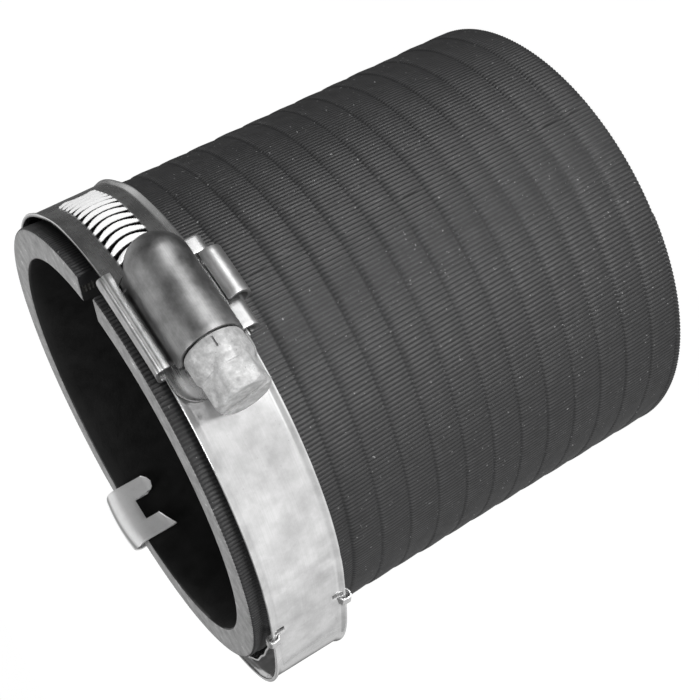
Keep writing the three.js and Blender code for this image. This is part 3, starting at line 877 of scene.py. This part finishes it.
def screw_body():
    """The shaft and the collar, with a short punched mark on the collar."""
    s, steps = SCREW, 72
    core, c0, c1, r = s["core"], s["collar_from"], s["collar_to"], s["collar"]
    profile = [(0, s["tip"]), (core - 0.7, s["tip"]), (core - 0.2, s["tip"] + 0.25), (core, s["tip"] + 0.7),
               (core, c0), (r - 0.4, c0), (r - 0.16, c0 + 0.05), (r, c0 + 0.45), (r, c1 - 1.05),
               (r - 0.05, c1 - 0.93), (r - 0.13, c1 - 0.85), (r - 0.42, c1 - 0.1), (r - 0.55, c1),
               (2.6, c1 + 0.05), (0, c1 + 0.05)]
    points = [on_screw(radius, 360 * k / steps, along) for radius, along in profile for k in range(steps)]
    shank = mesh_object("shank", points, ring_faces(len(profile), steps))
    half = s["mark_half"]
    mark = block([c0 + x for x in s["mark"]], (r - s["mark_depth"], r + 1), (-half, half))
    return cut_out(shank, about_screw(mark, s["mark_angle"]))


def screw_hex():
    """The slotted hexagon: a circle's steps pulled in to the flats and to the end's chamfer."""
    s = SCREW
    apothem, steps = s["flats"] / 2, 96
    corner = apothem / math.cos(math.pi / 6) - 0.08
    chamfer = ((0.55, 0.0), (0.35, 0.16), (0.15, 0.36), (0.04, 0.50), (0.0, 0.60), (0.0, 1.2), (0.0, 2.6))
    rings = [(s["collar_to"] - 1.0, corner), (s["collar_to"], corner), (s["end"] - 2.15, corner)]
    rings += [(s["end"] - back, corner - inset) for back, inset in chamfer]
    points = []
    for along, limit in rings:
        for k in range(steps):
            angle = 360 * k / steps
            from_flat = (angle - s["vertex"]) % 60 - 30
            reach = min(apothem / math.cos(math.radians(from_flat)), limit)
            points.append(on_screw(reach, angle, along))
    faces = ring_faces(len(rings), steps) + end_caps(len(rings), steps)
    head = mesh_object("hex", points, faces)
    side = s["slot_width"] / 2
    slot = block((s["end"] - s["slot_depth"], s["end"] + 1), (-6, 6), (-side, side))
    return bevel(cut_out(head, about_screw(slot, s["slot_angle"])), 0.06, angle=25)


def screw_thread():
    """The worm's wire, wound round the shaft and fading out at both ends."""
    s = SCREW
    sides, per_turn = 8, 24
    length = s["thread_to"] - s["thread_from"]
    count = round(length / THREAD["pitch"] * per_turn)
    points = []
    for i in range(count + 1):
        x = s["thread_from"] + length * i / count
        turn = 360 * x / THREAD["pitch"]
        wire = s["wire"] * min(1.0, 6 * i / count + 0.15, 6 * (count - i) / count + 0.15)
        for k in range(sides):
            a = 2 * math.pi * k / sides
            points.append(on_screw(s["wire_at"] + wire * math.cos(a), turn + 180, x + wire * math.sin(a)))
    faces = ring_faces(count + 1, sides) + end_caps(count + 1, sides)
    return mesh_object("thread", points, faces)


def worm_screw():
    return join("hex_screw", [screw_body(), screw_hex(), screw_thread()])


# ---- Camera, light and floor -------------------------------------------------------------
CAMERA = dict(aim=(-0.0040, -0.0025, 0.0389), distance=0.2102, azimuth=-19.4, elevation=19.33,
              roll=118.4, lens=71.07, sensor=36)
# What the lens sees of the floor and surround, and how strongly they light the object.
STUDIO = dict(seen_floor=0.97, seen_wall=1.0, dim=0.06, floor=0.02, table=0.70)
# The floor reaches half metres each way, and lies below metres under the object. On it, in
# millimetres, a light table fades in across an edge, with a dark strip and a shaded corner.
FLOOR = dict(half=3.0, below=0.0002, edge=(-25.0, 45.0), strip=-202.0, strip_slope=0.084, strip_half=6.5,
             strip_shade=0.45, corner=-340.0, corner_slope=-1.86, corner_shade=0.22)
# The studio's glow: right, up and back in the picture's directions, strength, sharpness.
GLOWS = (
    ((0.74, -0.62, 0.10), 0.8, 2.0),
    ((0.60, 0.78, -0.15), 1.2, 12.0),
    ((-0.80, 0.10, -0.55), 0.9, 3.0),
    ((0.56, 0.28, 0.78), 3.0, 9.0),
)
# Softboxes: right, up and back of the aim in the picture's directions, size, watts.
LIGHTS = dict(
    key=((0.20, 0.50, 0.42), (0.14, 0.14), 1.6),
    front=((0.36, 0.22, 0.58), (0.20, 0.20), 2.2),
    side=((-0.60, 0.05, 0.35), (0.15, 0.50), 0.3),
    rim=((-0.45, -0.35, 0.45), (0.25, 0.25), 2.1),
)


def towards_camera():
    a, e = math.radians(CAMERA["azimuth"]), math.radians(CAMERA["elevation"])
    return Vector((math.sin(a) * math.cos(e), -math.cos(a) * math.cos(e), math.sin(e)))


def make_camera():
    data = bpy.data.cameras.new("camera")
    data.lens = CAMERA["lens"]
    data.sensor_width = CAMERA["sensor"]
    ob = bpy.data.objects.new("camera", data)
    bpy.context.collection.objects.link(ob)
    ob.location = Vector(CAMERA["aim"]) + towards_camera() * CAMERA["distance"]
    look = (-towards_camera()).to_track_quat("-Z", "Y")
    ob.rotation_mode = "QUATERNION"
    ob.rotation_quaternion = look @ Quaternion((0, 0, -1), math.radians(CAMERA["roll"]))
    bpy.context.scene.camera = ob
    return ob


def softbox(name, offset, size, energy, camera):
    """An area light placed by the picture's own directions, in metres from the aim."""
    turn = camera.rotation_quaternion.to_matrix()
    aim = Vector(CAMERA["aim"])
    data = bpy.data.lights.new(name, "AREA")
    data.shape = "RECTANGLE"
    data.size, data.size_y = size
    data.energy = energy
    ob = bpy.data.objects.new(name, data)
    bpy.context.collection.objects.link(ob)
    ob.location = aim + turn @ Vector(offset)
    ob.visible_camera = False
    ob.rotation_euler = (aim - ob.location).to_track_quat("-Z", "Y").to_euler()
    return ob


def seen_or_lit(tree, seen, lit):
    """A strength that differs between what the lens sees directly and what lights the object."""
    path = tree.nodes.new("ShaderNodeLightPath")
    blend = tree.nodes.new("ShaderNodeMapRange")
    feed(tree, blend.inputs["Value"], path.outputs["Is Camera Ray"])
    feed(tree, blend.inputs["To Min"], lit)
    feed(tree, blend.inputs["To Max"], seen)
    return blend.outputs["Result"]


def make_world(camera):
    """A white surround to look at; for lighting, a dim room with a few broad glows."""
    world = bpy.data.worlds.new("studio")
    world.use_nodes = True
    bpy.context.scene.world = world
    tree = world.node_tree
    turn = camera.rotation_quaternion.to_matrix()
    direction = tree.nodes.new("ShaderNodeTexCoord").outputs["Generated"]
    light = STUDIO["dim"]
    for towards, strength, sharpness in GLOWS:
        dot = tree.nodes.new("ShaderNodeVectorMath")
        dot.operation = "DOT_PRODUCT"
        tree.links.new(direction, dot.inputs[0])
        dot.inputs[1].default_value = (turn @ Vector(towards)).normalized()
        facing = arithmetic(tree, "MAXIMUM", dot.outputs["Value"], 0.0)
        glow = arithmetic(tree, "MULTIPLY", arithmetic(tree, "POWER", facing, sharpness), strength)
        light = arithmetic(tree, "ADD", glow, light)
    back = tree.nodes["Background"]
    back.inputs["Color"].default_value = (1, 1, 1, 1)
    tree.links.new(seen_or_lit(tree, STUDIO["seen_wall"], light), back.inputs["Strength"])


def make_floor():
    """A pale floor whose glow the metal reflects. Lamps below it still reach the object."""
    size, f = FLOOR["half"], FLOOR
    mesh = bpy.data.meshes.new("floor")
    corners = ((-size, -size), (size, -size), (size, size), (-size, size))
    mesh.from_pydata([(x, y, -f["below"]) for x, y in corners], [], [(0, 1, 2, 3)])
    ob = bpy.data.objects.new("floor", mesh)
    bpy.context.collection.objects.link(ob)
    s = Surface("pale_floor", Emission_Color=(1, 1, 1, 1))
    s.colour(s.ramp(s.noise(0.02, 3), (0.3, 0.05), (0.7, 0.06)))
    s.roughness(s.ramp(s.noise(0.05, 3), (0.3, 0.85), (0.7, 0.95)))
    parts = s.node("SeparateXYZ", Vector=s.position)
    x, y = parts.outputs["X"], parts.outputs["Y"]
    into = s.math("SUBTRACT", s.math("MULTIPLY", x, -0.985), s.math("MULTIPLY", y, 0.17))
    glow = s.scaled(into, *f["edge"], STUDIO["floor"], STUDIO["table"])
    strip_at = s.math("ADD", s.math("MULTIPLY", y, f["strip_slope"]), f["strip"])
    strip = s.math("LESS_THAN", s.math("ABSOLUTE", s.math("SUBTRACT", x, strip_at)), f["strip_half"])
    corner = s.math("GREATER_THAN", y, s.math("ADD", s.math("MULTIPLY", x, f["corner_slope"]), f["corner"]))
    for shade, depth in ((strip, f["strip_shade"]), (corner, f["corner_shade"])):
        glow = s.math("MULTIPLY", glow, s.math("SUBTRACT", 1.0, s.math("MULTIPLY", shade, depth)))
    s.tree.links.new(seen_or_lit(s.tree, STUDIO["seen_floor"], glow), s.shader.inputs["Emission Strength"])
    mesh.materials.append(s.material)
    ob.visible_shadow = False


# ---- Scene -------------------------------------------------------------------------------
camera = make_camera()
make_world(camera)
make_floor()
for name, (offset, size, energy) in LIGHTS.items():
    softbox(name, offset, size, energy, camera)
bpy.context.scene.view_settings.view_transform = "Standard"

rubber, cut = ribbed_rubber(), cut_rubber()
band_metal = steel("band_metal", 0.86, 0.58, 0.06, 0.18, grain=0.10, metallic=0.65)
# The thread metal paints shade in the band's grooves and a highlight on its ridge faces.
thread_metal = steel("thread_metal", 0.90, 0.70, 0.20, 0.36, grooved=True)
housing_metal = steel("housing_metal", 0.40, 0.17, 0.36, 0.56, round_bore=False)
saddle_metal = steel("saddle_metal", 0.66, 0.42, 0.34, 0.50, round_bore=False)
spring_metal = steel("spring_metal", 0.88, 0.70, 0.18, 0.32)
# The clip gets a painted shade along its arch, between radii 30.4 and 33.2 mm.
clip_metal = plated("clip_metal", 0.15, (0.92, 0.98, 1.0), 0.0, painted_arch_shade=(30.4, 33.2))
zinc = plated("zinc_plate", 0.25, (0.30, 0.48, 0.68), 0.6)
fabric = woven_fabric()

for ply in ("inner_ply", "outer_ply"):
    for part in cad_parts[ply].material_slots:
        part.material = fabric

finish_piece(sleeve_cover(), rubber, "sleeve", ["hose_cover"], 80)
finish_piece(sleeve_bore(), cut, "sleeve", ["hose_liner"], 50)
finish_piece(band_fixed(), band_metal, "sleeve", ["clamp_band"])
bridge = finish_piece(band_bridge(), band_metal, None)
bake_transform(bridge)
finish_piece(band_tail(), thread_metal, "tail", ["band_tail"])
finish_piece(spring_liner(), spring_metal, "sleeve", ["spring_liner"])
finish_piece(rim_clip(), clip_metal, "sleeve", ["retaining_clip"])
finish_piece(screw_housing(), housing_metal, "sleeve", ["clamp_housing"])
finish_piece(housing_tabs(), saddle_metal, "sleeve")
finish_piece(housing_saddle(), saddle_metal, "sleeve", ["housing_saddle"])
finish_piece(worm_screw(), zinc, "worm", ["worm_screw"], 28)
